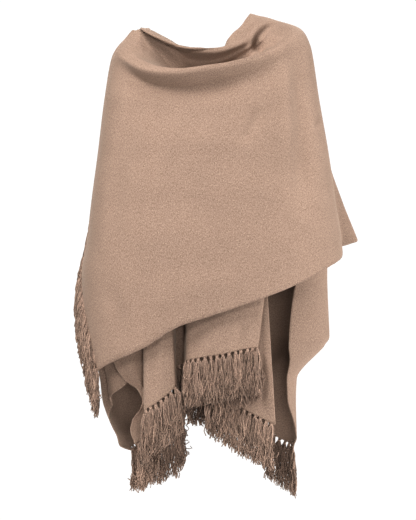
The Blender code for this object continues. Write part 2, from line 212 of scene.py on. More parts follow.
# %% Give a grid its thickness
def face_normals(grid):
    """Outward unit normals of a grid: cross(step down, step along), made one long."""
    return unit(np.cross(np.gradient(grid, axis=1), np.gradient(grid, axis=0)))


def square_seam(grid, normals, column, side):
    """Bring one edge column to the seam plane y = 0, half a gap away from the next panel."""
    on_seam = np.abs(grid[column, :, 1]) < CLOTH
    normals[column, on_seam, 1] = 0.0
    normals[column] = unit(normals[column])
    grid[column, on_seam, 1] = side * SEAM_GAP / 2


def cloth_uv(grid):
    """Place of each point on the flat cloth, in metres: lengths walked along the grid lines.

    u is measured along the middle row, v down each column.
    """
    middle = grid[:, grid.shape[1] // 2]
    u = np.append(0, np.cumsum(np.linalg.norm(np.diff(middle, axis=0), axis=1)))
    walked = np.cumsum(np.linalg.norm(np.diff(grid, axis=1), axis=2), axis=1)
    v = np.concatenate([np.zeros((len(grid), 1)), walked], axis=1)
    return np.stack([np.broadcast_to(u[:, None], v.shape), v], axis=-1)


def turned_out(vertices, quads):
    """Faces that point outwards: the sum of p0 . (p1 x p2) + p0 . (p2 x p3) is positive."""
    corners = vertices[quads]
    volume = sum(np.sum(corners[:, 0] * np.cross(corners[:, first], corners[:, first + 1]))
                 for first in (1, 2))
    return quads[:, ::-1] if volume < 0 else quads


def put_in(name, data):
    """Put an object with this data in the scene."""
    item = bpy.data.objects.new(name, data)
    bpy.context.scene.collection.objects.link(item)
    return item


def put_mesh(name, vertices, faces, uv=None, shade=None):
    """A smooth mesh object from points and rows of corners, with a UV map or a shade."""
    mesh = bpy.data.meshes.new(name)
    mesh.from_pydata(vertices.tolist(), [], faces.tolist())
    mesh.shade_smooth()
    if uv is not None:
        layer = mesh.uv_layers.new(name="cloth")
        layer.data.foreach_set("uv", uv[faces.ravel()].astype(np.float32).ravel())
    if shade is not None:
        attribute = mesh.attributes.new("shade", "FLOAT", "POINT")
        attribute.data.foreach_set("value", shade.astype(np.float32))
    return put_in(name, mesh)


def put_cloth(name, outer, normals):
    """A closed wall: the outer grid, its copy moved in by the cloth's thickness, and a rim.

    The rim has a row halfway that stands out by RIM_SWELL of the thickness, so it is round.
    """
    columns, rows = outer.shape[:2]
    inner = outer - normals * CLOTH
    uv = cloth_uv(outer).reshape(-1, 2)
    index = np.arange(columns * rows).reshape(columns, rows)
    around = np.concatenate([index[:-1, 0], index[-1, :-1], index[:0:-1, -1], index[0, :0:-1]])
    inward = np.zeros_like(outer)
    inward[0], inward[-1] = unit(outer[1] - outer[0]), unit(outer[-2] - outer[-1])
    inward[:, 0] += unit(outer[:, 1] - outer[:, 0])
    inward[:, -1] += unit(outer[:, -2] - outer[:, -1])
    flat_out, flat_in = outer.reshape(-1, 3), inner.reshape(-1, 3)
    edge = unit(inward.reshape(-1, 3)[around])
    half = (flat_out[around] + flat_in[around]) / 2 - edge * CLOTH * RIM_SWELL
    front = np.stack([index[:-1, :-1], index[:-1, 1:], index[1:, 1:], index[1:, :-1]], axis=-1)
    count = len(flat_out)
    rim = 2 * count + np.arange(len(around))
    following = np.roll(np.arange(len(around)), -1)
    faces = [front.reshape(-1, 4), count + front.reshape(-1, 4)[:, ::-1]]
    for first, second in ((around, rim), (rim, count + around)):
        faces.append(np.stack([first, first[following], second[following], second], axis=-1))
    vertices = np.concatenate([flat_out, flat_in, half])
    uv = np.concatenate([uv, uv, uv[around]])
    return put_mesh(name, vertices, turned_out(vertices, np.concatenate(faces)), uv=uv)


def tell(name, grid):
    """Print the size of a grid and its lowest height."""
    print(name, "of", grid.shape[0], "by", grid.shape[1], "points, lowest at",
          round(grid[..., 2].min(), 3), "m")


print("a wall of", CLOTH / MM, "mm")

# %% [markdown]
# ## The cowl
#
# The thrown panel is pulled tight over both shoulders, so the slack between them sinks into a
# cowl: a crest beside the neck, a deep hollow, a thick roll, and a shallow trough under it.
# The level lines give the plain form. Two small tables then push the cloth up or down and in
# or out at each line, as fingers would, and every push fades softly into the next.

# %% Pushes up, down, in and out
COWL_RISE = table("""
line         level -90 -75 -60 -40 -20   0  20 40 60 90
neck             0   0   0   0  -4  -5   0   0 -4  0  0
crest            1   0   1   2   1  -4   1   2 -1  0  0
lip            1.3   0   1   2   5   2   2   3  0  0  0
undercut       1.6   0  -2  -4   2  -2   2   4  0  0  0
shelf         1.85   0  -5 -12 -14 -18  -6   0  0  0  0
trough         2.1   4 -10 -26 -40 -48 -46 -24 -4  0  0
roll             3   0 -14 -26 -25 -16   0   6  4 -2  0
belly          3.3   0 -13 -24 -25 -16   1   8  6  0  0
shadow           4   0  -8 -15 -22 -18   0   8  8  4  0
under_shadow   4.5   0  -3  -6 -10  -8   0   4  4  2  0
chest            5   0   0   0   0   0   0   0  0  0  0
""")
COWL_OUT = table("""
line         level -90 -75 -60 -40 -20   0  20  40 60 90
neck             0   0   0   0   0   0   0   0   3  2  0
crest            1   0   4   8   8   6   4   3   0  0  0
lip            1.3   0 -15 -28 -34 -16   1   4   0  0  0
undercut       1.6   0 -32 -50 -62 -52 -32 -16  -2  0  0
shelf         1.85   0 -38 -54 -70 -74 -70 -42  -8  0  0
trough         2.1   0 -30 -44 -62 -72 -72 -42 -12 -4  0
roll             3   0   0   0   2   4   5   4   1  0  0
belly          3.5   0   1   2  10  11   9   5   2  0  0
under_shadow  4.45   0  -8 -18 -33 -30 -28 -16  -7 -1  0
chest            5   0  -5 -12 -30 -31 -26 -19  -8 -2  0
elbow            6   0  -2  -6 -17 -17 -14  -9  -3  0  0
forearm          7   0   0  -2  -7  -8  -6  -3   0  0  0
wrist            8   0   0   0   0   0   0   0   0  0  0
""")
NECK_STAND = table("""
place    angle rise
left       -90    0
ridge       14    0
cut         20   17
edge        32   26
slope       47   22
top         64   12
round       79    5
shoulder    90    0
""")


def hand_shaped(moves, angle, level):
    """Moves of a table, whose rows are level lines and whose columns are angles, in mm.

    Each row is a smooth curve round the body. A row counts fully on its own line and fades
    to nothing on the next: 1 - soft_step(distance in lines).
    """
    angles = [name for name in moves if name != "level"]
    rows = np.stack([moves[name] for name in angles], axis=1)
    place = np.interp(level, moves["level"], np.arange(len(rows)))
    knots = np.array(angles, dtype=float)
    return sum(smooth(knots, row, angle) * (1 - soft_step(np.abs(place - number)))
               for number, row in enumerate(rows))


print("pushes in the cowl:", COWL_RISE["level"].size * (len(COWL_RISE) - 1) * 2)

# %% [markdown]
# ## Creases
#
# Felt doesn't crumple. It has a few long soft folds, each with its own length, depth and
# width. One row of a table draws one fold on the cloth, as a line seen from the front or the
# back, and the cloth sinks (minus) or swells (plus) along it.

# %% Soft folds along drawn lines
def folds(drawn, x, z):
    """Depth in metres of the folds of a table at places x, z, in metres.

    A fold's depth is a bell across it, exp(-(d / width)^2), with d the distance from a line
    that bows aside by 4 bow t (1 - t), times a rise and a fall over its first and last third.
    """
    total = np.zeros(np.broadcast(x, z).shape)
    for x0, z0, x1, z1, bow, width, depth in np.stack(list(drawn.values()), axis=1) * MM:
        run = np.array([x1 - x0, z1 - z0])
        length = np.linalg.norm(run)
        run = run / length
        along = ((x - x0) * run[0] + (z - z0) * run[1]) / length
        across = (z - z0) * run[0] - (x - x0) * run[1] - 4 * bow * along * (1 - along)
        ends = soft_step(along * 3) * soft_step((1 - along) * 3)
        total += depth * ends * np.exp(-(across / width) ** 2)
    return total


# %% [markdown]
# ## The thrown panel
#
# The panel runs from its knotted end, behind the right arm, round the front to the left
# shoulder line. Its lower edge is the plain selvedge, which rises from the low corner to the
# left elbow. The surface is a grid: one parameter goes along the cloth, the other down it,
# and the level of each point is found so that the last row lies on the selvedge.

# %% Form of the thrown panel
WRAP = {name: np.append(LEVELS[name], WRAP_LOW[name]) for name in WRAP_LOW}
WRAP_LEVELS = np.arange(len(WRAP["right"]))
CORNER = WRAP_LEVELS[-2]
CHEST, ELBOW = 5, 6
SIDE = 90.0
WRAP_COLUMNS, WRAP_ROWS = 230, 165
ROW_GROWTH = 1.15
HEM_ROUNDS, HEM_EASE = 12, 0.7
HEM_ANGLES, HEM_LADDER = 76, 600
WRAP_HEM = table("""
place          angle height
fringed_corner   -60   -768
left_front       -29   -716
left_middle      -13   -666
middle             0   -640
right_middle      22   -597
right_front       57   -532
right_side        80   -508
side_seam         90   -492
""")
WRAP_FOLDS = table("""
fold            x0   z0   x1   z1 bow width depth
arm_valley     190    0  202 -430  12    26   -20
arm_ridge      158  -40  166 -330   8    26     5
chest_dimple   112 -165   58 -262   5    15    -6
collar_band    146   34   92  -68 -26     8     3
collar_hollow  162   32  106  -66 -26    10    -9
collar_pocket   82  -42  160  -16   0    11    -9
collar_smear  -165  -12 -140  -48   0     7    -3
side_nick      250 -188  238 -222   0     4    -4
left_drape    -196 -110 -215 -520 -12    26    -3
left_ridge    -150 -130 -160 -560  -8    34     3
low_pull      -150 -640  120 -560  30    30     4
corner_pull   -240 -560 -190 -730   6    20    -4
middle_wave    -20 -230  -40 -600  10    46    -4
""")


def wrap_form(angle, level):
    """Outer face of the thrown panel before its folds: a level line moved by the cowl's pushes."""
    row = columns_at(WRAP, WRAP_LEVELS, level)
    over_back = WRAP_LIFT * np.clip(1 - level / CHEST, 0, 1)
    side_z = np.where(angle > 0, row["right_z"], row["left_z"])
    middle_z = np.where(np.abs(angle) < SIDE, row["front_z"], row["back_z"] + over_back)
    points = ring(angle, row["right"], row["left"], row["front"], row["back"] + WRAP_LIFT,
                  side_z, middle_z)
    rise = hand_shaped(COWL_RISE, angle, level)
    rise += smooth(NECK_STAND["angle"], NECK_STAND["rise"], angle) * (1 - soft_step(level))
    points = points + outward(angle) * (hand_shaped(COWL_OUT, angle, level) * MM)[..., None]
    points[..., 2] += rise * MM
    return points


def wrap_end(level):
    """Angle of the knotted end at each level."""
    return smooth(WRAP_LEVELS, WRAP["end"], level)


def hem_level(angle):
    """Level at which the panel reaches its selvedge, read from a fine ladder of levels."""
    angles = np.linspace(WRAP_HEM["angle"][0], SIDE, HEM_ANGLES)
    ladder = np.linspace(CHEST, CORNER, HEM_LADDER)
    heights = wrap_form(angles[:, None], ladder[None, :])[..., 2]
    hem = smooth(WRAP_HEM["angle"], WRAP_HEM["height"] * MM, angles)
    reached = ladder[np.argmin(np.abs(heights - hem[:, None]), axis=1)]
    return smooth(angles, reached, angle)


def wrap_surface(columns, rows):
    """Outer face of the thrown panel as a grid, and the level of each of its points.

    A point's level is its share of the way down times the hem's level at its angle. The angle
    depends on the level in turn, where the knotted end slants, so both are found in rounds.
    """
    along = np.linspace(0, 1, columns)[:, None]
    down = np.linspace(0, 1, rows)[None, :] ** ROW_GROWTH
    level = CORNER * down * np.ones_like(along)
    for _ in range(HEM_ROUNDS):
        angle = blend(wrap_end(level), SIDE, along)
        level = blend(level, hem_level(angle) * down, HEM_EASE)
    form = wrap_form(angle, level)
    depth = folds(WRAP_FOLDS, form[..., 0], form[..., 2])
    depth *= soft_step((SIDE - np.abs(angle)) / SEAM_FADE) * (np.abs(angle) < SIDE)
    return form + face_normals(form) * depth[..., None], level


wrap, wrap_levels = wrap_surface(WRAP_COLUMNS, WRAP_ROWS)
tell("thrown panel", wrap)

# %% [markdown]
# ## The under panel
#
# The right front lies beneath the thrown panel. It is smooth over the shoulder; lower down it
# is bunched into deep folds that stand one behind the other, so its knotted hem is seen as
# three separate steps. A table gives each fold's place where it comes out and at the hem.

# %% Form of the under panel
UNDER_TOP = -0.600
FAN_ACROSS, FAN_AHEAD = 1.2, 0.6
UNDER_COLUMNS = 300
UNDER_ROWS = (26, 30, 66)
UNDER_FOLDS = table("""
fold          along top_x top_y hem_x hem_y hem_z swing
outer_edge        0  -242  -104  -182   -84  -935   1.0
outer_middle     45  -188  -124  -148   -68  -912   1.8
valley           85  -146  -112  -144   -82  -880   1.0
c_left           97  -155  -138  -153  -136  -860   1.0
c_middle        135  -127  -152  -120  -155  -832   1.0
c_right         173   -94  -147   -82  -147  -796   1.0
c_turn          186   -88  -129   -80  -129  -785   1.0
recess          205   -80   -80   -82   -84  -762   1.0
recess_end      226   -60   -84   -66   -92  -750   1.0
a_left          248   -57  -137   -58  -137  -741   1.0
a_quarter       280   -20  -156   -27  -156  -734   1.0
a_middle        320    28  -164    22  -164  -726   1.0
a_right         385   110  -150    95  -151  -712   1.0
a_turn          397   117  -145   103  -146  -714   1.0
return_start    410   112  -143    97  -144  -722   1.0
return_middle   455    76  -142    42  -142  -750   1.0
return_turn     500    44  -138    -2  -137  -786   1.0
b_turn          513    45  -131    -4  -130  -796   1.0
b_start         530    56  -134    10  -130  -808   1.0
b_middle        595    90  -137    72  -133  -850   1.0
slit_edge       665   124  -133   142  -130  -886   1.0
""")
UNDER_EDGE = table("""
place    share    x
top       0.00 -242
above     0.30 -234
hem_line  0.46 -220
turning   0.56 -198
steep     0.63 -168
widest    0.71 -157
back_in   0.76 -162
low       0.84 -180
lower     0.90 -184
corner    1.00 -173
""")
EDGE_FADE = 70.0
UNDER_CREASES = table("""
crease     along0   z0 along1   z1 bow width depth
outer_soft     20 -640     28 -900  -6    10    -3
c_soft        120 -650    128 -850   4     9    -3
c_ridge       150 -650    146 -830  -4     8     2
a_soft        268 -650    272 -745   3     8    -3
a_middle      305 -640    300 -740  -3    10     2
a_far         352 -650    344 -735   5     9    -4
b_soft        560 -640    556 -840  -6    10    -4
b_ridge       600 -640    604 -860   4    10     3
slit_soft     640 -640    632 -880   5     9    -3
""")


def under_surface():
    """Outer face of the under panel as a grid: over the shoulder, a fan, and hanging folds.

    The fan passes from the smooth level lines to the folds' tops by soft_step(share) to the
    power FAN_ACROSS in x and FAN_AHEAD in y, so the folds come forward before they spread.
    The outer edge sways to the x of UNDER_EDGE, and the cloth beside it follows by
    1 - soft_step(distance / EDGE_FADE).
    """
    places = UNDER_FOLDS["along"]
    along = np.linspace(places[0], places[-1], UNDER_COLUMNS)[:, None]
    share = along / places[-1]
    fold = columns_at(UNDER_FOLDS, places, along, 1.0)
    over_rows, fan_rows, hang_rows = UNDER_ROWS
    wrist = len(UNDER["left"]) - 1
    fan = np.linspace(0, 1, fan_rows + 1)[None, 1:]
    level = np.append(np.linspace(0, ELBOW, over_rows), blend(ELBOW, wrist, fan[0]))[None, :]
    row = columns_at(UNDER, np.arange(wrist + 1), level)
    angle = blend(-SIDE, smooth(np.arange(wrist + 1), UNDER["slit"], level), share)
    upper = ring(angle, 0, row["left"], row["front"], 0, row["left_z"], row["front_z"])
    inward = np.minimum(hand_shaped(COWL_OUT, angle, level), 0)
    upper += outward(angle) * (inward * MM)[..., None]
    upper[..., 2] += hand_shaped(COWL_RISE, angle, level) * MM
    upper[:, over_rows:, 2] = blend(UNDER["front_z"][ELBOW] * MM, UNDER_TOP, fan)
    eased = soft_step(fan)
    opened = np.stack([eased ** FAN_ACROSS, eased ** FAN_AHEAD, eased], axis=-1)
    tops = np.stack([fold["top_x"] * MM, fold["top_y"] * MM,
                     np.full_like(share, UNDER_TOP)], axis=-1)
    fanned = blend(upper[:, over_rows:], tops, opened)
    fanned[..., 2] = upper[:, over_rows:, 2]
    down = np.linspace(0, 1, hang_rows + 1)[None, 1:]
    move = down ** fold["swing"]
    hanging = np.stack([blend(fold["top_x"], fold["hem_x"], move) * MM,
                        blend(fold["top_y"], fold["hem_y"], move) * MM,
                        blend(UNDER_TOP, fold["hem_z"] * MM, down)], axis=-1)
    sway = smooth(UNDER_EDGE["share"], UNDER_EDGE["x"] * MM, down) - hanging[:1, :, 0]
    hanging[..., 0] += sway * (1 - soft_step(along / EDGE_FADE))
    form = np.concatenate([upper[:, :over_rows], fanned, hanging], axis=1)
    depth = folds(UNDER_CREASES, along * MM, form[..., 2])
    return form + face_normals(form) * depth[..., None]


under = under_surface()
tell("under panel", under)

# %% [markdown]
# ## The back
#
# The back is the whole width of the cloth, so it has slack to spare. It hangs in soft waves
# that deepen towards the hem, its two sides curl round to the front, and the middle of its
# hem is drawn up. Round the forearm it flares out a little.

# %% Form of the back
FLARE_ABOVE = 20.0
FLARE_START, FLARE_FULL = 91.0, 101.0
WAVES_FROM, WAVES_OVER, WAVES_GROW = -0.15, 0.55, 1.3
BACK_COLUMNS, BACK_ROWS = 240, 168
BACK_TOP = len(LEVELS["right"]) - 1
FIXED_EDGE = np.full(BACK_TOP, SIDE)
BACK = {name: np.append(upper[:BACK_TOP], BACK_LOW.get(name, BACK_LOW["height"]))
        for name, upper in dict(
            right=LEVELS["right"], right_z=LEVELS["right_z"], left=UNDER["left"],
            left_z=UNDER["left_z"], back=LEVELS["back"], back_z=LEVELS["back_z"],
            front_right=LEVELS["front"], front_left=UNDER["front"],
            flare=np.append(np.zeros(BACK_TOP - 1), FLARE_ABOVE),
            right_edge=FIXED_EDGE, left_edge=-FIXED_EDGE).items()}
BACK_LEVELS = np.arange(len(BACK["right"]))
BACK_HEM = table("""
place        along height
right_corner  0.00   -957
right_fold    0.12   -944
right_back    0.25   -922
right_rise    0.33   -880
middle        0.50   -800
rise          0.60   -815
left_rise     0.65   -932
left_back     0.70   -940
left_fold     0.80   -946
left_corner   1.00   -962
""")
BACK_WAVES = table("""
wave        angle depth width
right_side    112    -9    11
right_back    134    14    10
back_right    155   -12    10
back_middle   178    13    11
back_left     200   -12    10
left_back     219    11     9
curl_groove   287    14     5
""")
BACK_CREASES = table("""
crease       x0   z0   x1   z1 bow width depth
yoke_left  -120  -60  -40 -230  14    16    -4
yoke_right  130  -50   70 -260 -16    18    -5
spine        10 -120  -14 -520  16    30    -4
blade       -90 -200 -130 -560 -10    20    -5
far_pull    190 -170  150 -600  12    22    -5
short_pull   60 -330   84 -610  -8    14    -4
elbow_nick  228 -300  180 -352   6     9    -3
left_nick  -232 -318 -170 -372  -6    10    -3
hem_left   -150 -640 -118 -860   8    13    -4
hem_right   120 -640  142 -860  -9    14    -4
hem_middle  -30 -600  -44 -790   6    12    -4
low_ridge    34 -560   22 -780  -5    15     4
""")


def back_form(angle, level):
    """Outer face of the back before its waves; angles past 180 go on round to the left."""
    row = columns_at(BACK, BACK_LEVELS, level)
    opened = soft_step((angle - FLARE_START) / (FLARE_FULL - FLARE_START))
    on_right = angle < 180
    return ring(angle, row["right"] + row["flare"] * opened, row["left"],
                np.where(on_right, row["front_right"], row["front_left"]), row["back"],
                np.where(on_right, row["right_z"], row["left_z"]), row["back_z"])


def back_surface():
    """Outer face of the back as a grid: columns from its right edge round to its left edge.

    A wave is a bell in the angle, exp(-((a - centre) / width)^2), and grows downwards by
    ((WAVES_FROM - z) / WAVES_OVER) to the power WAVES_GROW.
    """
    along = np.linspace(0, 1, BACK_COLUMNS)[:, None]
    down = np.linspace(0, 1, BACK_ROWS)[None, :]
    hem = smooth(BACK_HEM["along"], BACK_HEM["height"], along)
    level = down * np.interp(-hem, -BACK["back_z"], BACK_LEVELS)
    right = smooth(BACK_LEVELS, BACK["right_edge"], level)
    left = smooth(BACK_LEVELS, BACK["left_edge"], level) + 360
    angle = blend(right, left, along)
    form = back_form(angle, level)
    wave = sum(depth * np.exp(-((angle - centre) / width) ** 2) for centre, depth, width in
               np.stack(list(BACK_WAVES.values()), axis=1))
    strength = np.clip((WAVES_FROM - form[..., 2]) / WAVES_OVER, 0, 1) ** WAVES_GROW
    form -= outward(angle) * (wave * MM * strength)[..., None]
    behind = soft_step((angle - SIDE) / SEAM_FADE) * soft_step((360 - SIDE - angle) / SEAM_FADE)
    depth = folds(BACK_CREASES, form[..., 0], form[..., 2]) * behind
    return form + face_normals(form) * depth[..., None]


back = back_surface()
tell("back", back)

# %% [markdown]
# ## Put the cloth in
#
# The front meets the back along the shoulder and arm line, where the real cloth simply folds
# over. The two edges are squared to one plane there and kept a hair apart.

# %% Make the three cloth pieces
def make_panel(name, node, grid, seams):
    """A panel squared at its seams and given its thickness, in place of its solid."""
    normals = face_normals(grid)
    for column, side in seams:
        square_seam(grid, normals, column, side)
    piece = put_cloth(name, grid, normals)
    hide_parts(node)
    print(name, len(piece.data.polygons) * 2, "triangles")
    return piece, normals


thrown_panel, wrap_normals = make_panel("thrown_panel", "wrap_panel", wrap, [(-1, -1)])
under_panel, under_normals = make_panel("under_panel_cloth", "under_panel", under, [(0, -1)])
back_panel, back_normals = make_panel("back_cloth", "back_panel", back, [(0, 1), (-1, 1)])

# %% [markdown]
# ## The knotted fringe
#
# The maker gathers 14 mm of warp ends, knots them close to the cloth, and lets them hang. The
# knots stand just off the edge, so small dark holes are left between the threads that run
# into them. Below a knot the yarns open like a soft brush: each has its own length, wave and
# shade, and a few end in a loop. All of them are tubes with a few sides.

# %% Yarns as tubes
YARN_SIDES = 4
KNOT_OUT = 0.0068
KNOT_SIZE = (0.0041, 0.0040, 0.0034)
KNOT_STEPS = (10, 7)
GROOVE_DEPTH, GROOVE_WIDTH, GROOVE_SLANT = 0.16, 0.22, (0.6, 0.8)
LEG_STEPS = 4


def tubes(paths, radii, across):
    """Points and faces of tubes, one for each path of shape (paths, steps, 3).

    Round each point the tube has YARN_SIDES corners at c + r (cos t s + sin t u), where s is
    square to the path and to `across`, and u to both. The ends are closed.
    """
    ahead = unit(np.gradient(paths, axis=1))
    side = unit(np.cross(ahead, across[:, None, :]))
    up = np.cross(side, ahead)
    turns = 2 * np.pi * np.arange(YARN_SIDES) / YARN_SIDES
    corners = (paths[:, :, None] + radii[..., None, None]
               * (side[:, :, None] * np.cos(turns)[:, None]
                  + up[:, :, None] * np.sin(turns)[:, None]))
    count, steps = paths.shape[:2]
    index = np.arange(count * steps * YARN_SIDES).reshape(count, steps, YARN_SIDES)
    following = np.roll(index, -1, axis=2)
    walls = np.stack([index[:, :-1], following[:, :-1], following[:, 1:], index[:, 1:]], axis=-1)
    ends = np.concatenate([index[:, 0, ::-1], index[:, -1]])
    return corners.reshape(-1, 3), np.concatenate([walls.reshape(-1, 4), ends])


def knots(centres, side, ahead, out, lean):
    """Points and faces of small knots: squashed balls with one slanted groove each.

    The radius of a ball is 1 - depth exp(-(w / width)^2), w being the height above a slanted
    plane through its middle.
    """
    around, rings = KNOT_STEPS
    turn = 2 * np.pi * np.arange(around) / around
    tilt = np.pi * (np.arange(rings) + 0.5) / rings
    ball = np.stack([np.outer(np.sin(tilt), np.cos(turn)),
                     np.broadcast_to(np.cos(tilt)[:, None], (rings, around)),
                     np.outer(np.sin(tilt), np.sin(turn))], axis=-1).reshape(-1, 3)
    groove = ball[:, 0] * GROOVE_SLANT[0] * lean[:, None] + ball[:, 1] * GROOVE_SLANT[1]
    radius = 1 - GROOVE_DEPTH * np.exp(-(groove / GROOVE_WIDTH) ** 2)
    bulge = radius[..., None] * ball * np.array(KNOT_SIZE)
    points = (centres[:, None] + side[:, None] * bulge[..., 0:1]
              + ahead[:, None] * bulge[..., 1:2] + out[:, None] * bulge[..., 2:3])
    index = np.arange(len(centres) * len(ball)).reshape(len(centres), rings, around)
    following = np.roll(index, -1, axis=2)
    walls = np.stack([index[:, :-1], index[:, 1:], following[:, 1:], following[:, :-1]], axis=-1)
    pole = index[:, [0, -1]]
    fans = np.concatenate([
        np.stack([pole[:, end, 0], pole[:, end, k], pole[:, end, k + 1], pole[:, end, k + 2]],
                 axis=-1)[:, ::(1, -1)[end]]
        for end in (0, 1) for k in range(1, around - 2, 2)])
    return points.reshape(-1, 3), np.concatenate([walls.reshape(-1, 4), fans])


print("each knot:", KNOT_STEPS[0] * KNOT_STEPS[1], "points")

# %% [markdown]
# ## Where a tassel hangs
#
# A tassel leaves the cloth in the cloth's own direction and soon gives way to its weight. On
# the free hems it then hangs straight down. The thrown end lies on the slope of the shoulder
# and the arm, so its tassels follow the surface of the panel itself, carried on past its end.

# %% Centre lines of the tassels
REACH = 0.150
PATH_STEPS = 76
EASE = 0.030
LEAN_OUT = 0.03
ROUTE_LEVELS, ROUTE_STEPS = 3.2, 121
END_DRIFT = table("""
place    level drift stand_out
shoulder     0     9         0
arm          6     8         0
wrist        8     5         0
hand         9     5         8
thigh       10     2        11
corner      11    -1         2
""")
STAND_OVER = 0.035


def hang_down(at, root, normal, beyond):
    """Paths that turn from `beyond` to straight down over EASE: the sum of unit steps."""
    reach = np.linspace(0, REACH, PATH_STEPS)
    turned = soft_step(reach / EASE)[None, :, None]
    down = np.array([0.0, 0.0, -1.0]) + normal * LEAN_OUT
    steps = unit(blend(beyond[:, None], down[:, None], turned)) * (REACH / (PATH_STEPS - 1))
    return root[:, None] + np.cumsum(steps, axis=1) - steps[:, :1]


def lie_on_the_arm(at, root, normal, beyond):
    """Paths on the thrown panel's form past its end, at equal steps of length walked.

    `at` is each knot's level. The form is followed down, drifting round by END_DRIFT, and the
    tassel stands out from it by LEAN_OUT r + stand_out soft_step(r / STAND_OVER) at reach r.
    """
    reach = np.linspace(0, ROUTE_LEVELS, ROUTE_STEPS)[None, :]
    drift = np.interp(at, END_DRIFT["level"], END_DRIFT["drift"])[:, None]
    start = at[:, None]
    route = wrap_form(wrap_end(start) - drift * reach, start + reach)
    walked = np.cumsum(np.linalg.norm(np.diff(route, axis=1, prepend=route[:, :1]), axis=-1),
                       axis=1)
    places = np.linspace(0, REACH, PATH_STEPS)
    paths = np.stack([np.stack([np.interp(places, walk, line[:, axis]) for axis in range(3)],
                               axis=-1) for walk, line in zip(walked, route)])
    fade = (1 - soft_step(places / REACH))[None, :, None]
    stand_out = np.interp(at, END_DRIFT["level"], END_DRIFT["stand_out"] * MM)[:, None]
    away = LEAN_OUT * places + stand_out * soft_step(places / STAND_OVER)
    lift = normal[:, None] * away[..., None]
    return paths + (root - paths[:, 0])[:, None] * fade + lift


print("tassel paths of", PATH_STEPS, "steps of", round(REACH / (PATH_STEPS - 1) / MM, 1), "mm")

# %% [markdown]
# ## The yarns of a tassel
#
# A tassel holds some thirty loosely twisted yarns. Below the knot they open like a brush, wave
# in a few locks and differ in length, and one in six bends round into a loop. They could be
# hair curves, but thin tubes are plain mesh, which any program reads.

# %% Paths of the yarns
YARN_STEPS = 11
LENGTHS, SHORT_SHARE, SHORT_LENGTHS = (0.86, 1.03), 0.06, (0.55, 0.8)
LOOPED, LOOP_FROM, LOOP_RADIUS, LOOP_TURN = 0.16, (0.45, 0.8), (0.004, 0.009), (2.5, 5.5)
BRUSH_WIDE, BRUSH_DEEP, OPENING = (0.0036, 0.0084), (0.0018, 0.0055), 18
WAVE_WIDE, WAVE_DEEP, WAVE_GROWTH, OWN_WAVE = 0.0055, 0.0040, 0.6, 0.4
LOCKS, LOCK_TURNS, OWN_TURNS = 4, (0.6, 1.9), (1.5, 4.0)


def yarn_paths(centres, side, ahead, out, count, press, trim, rng):
    """Paths of `count` yarns for each knot, of shape (knots * count, YARN_STEPS, 3).

    A yarn at share s of its length lies beside its tassel's centre line by
    start + (end - start) (1 - exp(-OPENING s)) + wave s^WAVE_GROWTH sin(2 pi (turns s + phase)),
    across and outwards. Most of the wave is shared by the yarns of one of its LOCKS. `press`
    flattens the tassel outwards, `trim` scales the lengths at the first and the last knot. A
    looped yarn leaves its line at a share and goes round a circle from there.
    """
    tassels = len(centres)
    size = (tassels, count, 1)
    share = np.linspace(0, 1, YARN_STEPS)
    turn = rng.uniform(0, 2 * np.pi, size)
    spread = np.sqrt(rng.uniform(0, 1, size))
    length = TASSEL_LENGTH * rng.uniform(*LENGTHS, size)
    length *= np.where(rng.random(size) < SHORT_SHARE, rng.uniform(*SHORT_LENGTHS, size), 1.0)
    length *= np.linspace(*trim, tassels)[:, None, None]
    looped = rng.random(size) < LOOPED
    leaves = rng.uniform(*LOOP_FROM, size)
    radius = rng.uniform(*LOOP_RADIUS, size)
    round_by = np.where(looped, rng.uniform(*LOOP_TURN, size), 0.0)
    past = np.clip((share - leaves) / (1 - leaves), 0, 1) * round_by
    kept = np.where(looped, np.minimum(share, leaves), share)
    reach = (KNOT_OUT + kept * length) / REACH * (PATH_STEPS - 1)
    low = np.clip(reach.astype(int), 0, PATH_STEPS - 2)
    part = (reach - low)[..., None]
    number = np.arange(tassels)[:, None, None]
    line = blend(centres[number, low], centres[number, low + 1], part)
    lock = rng.integers(0, LOCKS, (tassels, count))

    def waving(size_of, turns, phase):
        """A wave that grows along the yarn: size s^WAVE_GROWTH sin(2 pi (turns s + phase))."""
        return size_of * share ** WAVE_GROWTH * np.sin(2 * np.pi * (turns * share + phase))

    def of_lock(low, high):
        """One random number for each lock, given to all its yarns."""
        drawn = rng.uniform(low, high, (tassels, LOCKS))
        return np.take_along_axis(drawn, lock, axis=1)[..., None]

    def curled(size_of):
        """The wave of a yarn's lock plus a smaller one of its own."""
        own = waving(OWN_WAVE * size_of, rng.uniform(*OWN_TURNS, size), rng.uniform(0, 1, size))
        return waving(size_of, of_lock(*LOCK_TURNS), of_lock(0, 1)) + own

    opened = 1 - np.exp(-share * OPENING)
    wide = spread * np.cos(turn) * blend(*BRUSH_WIDE, opened) + curled(WAVE_WIDE)
    deep = (spread * np.sin(turn) * blend(*BRUSH_DEEP, opened) + curled(WAVE_DEEP)) * press
    wide += np.sign(np.cos(turn)) * radius * (1 - np.cos(past))
    down = radius * np.sin(past)
    paths = (line + side[:, None, None] * wide[..., None] + out[:, None, None] * deep[..., None]
             + ahead[:, None, None] * down[..., None])
    return paths.reshape(-1, YARN_STEPS, 3)


print("a tassel opens from and to", [round(2 * half / MM, 1) for half in BRUSH_WIDE], "mm")

# %% [markdown]
# ## Making a fringe
#
# Along an edge the knots are spaced by length walked, a little unevenly. Three threads run
# from the cloth into each knot. Every random number comes from a generator with a fixed seed,
# so the fringe is the same each time.

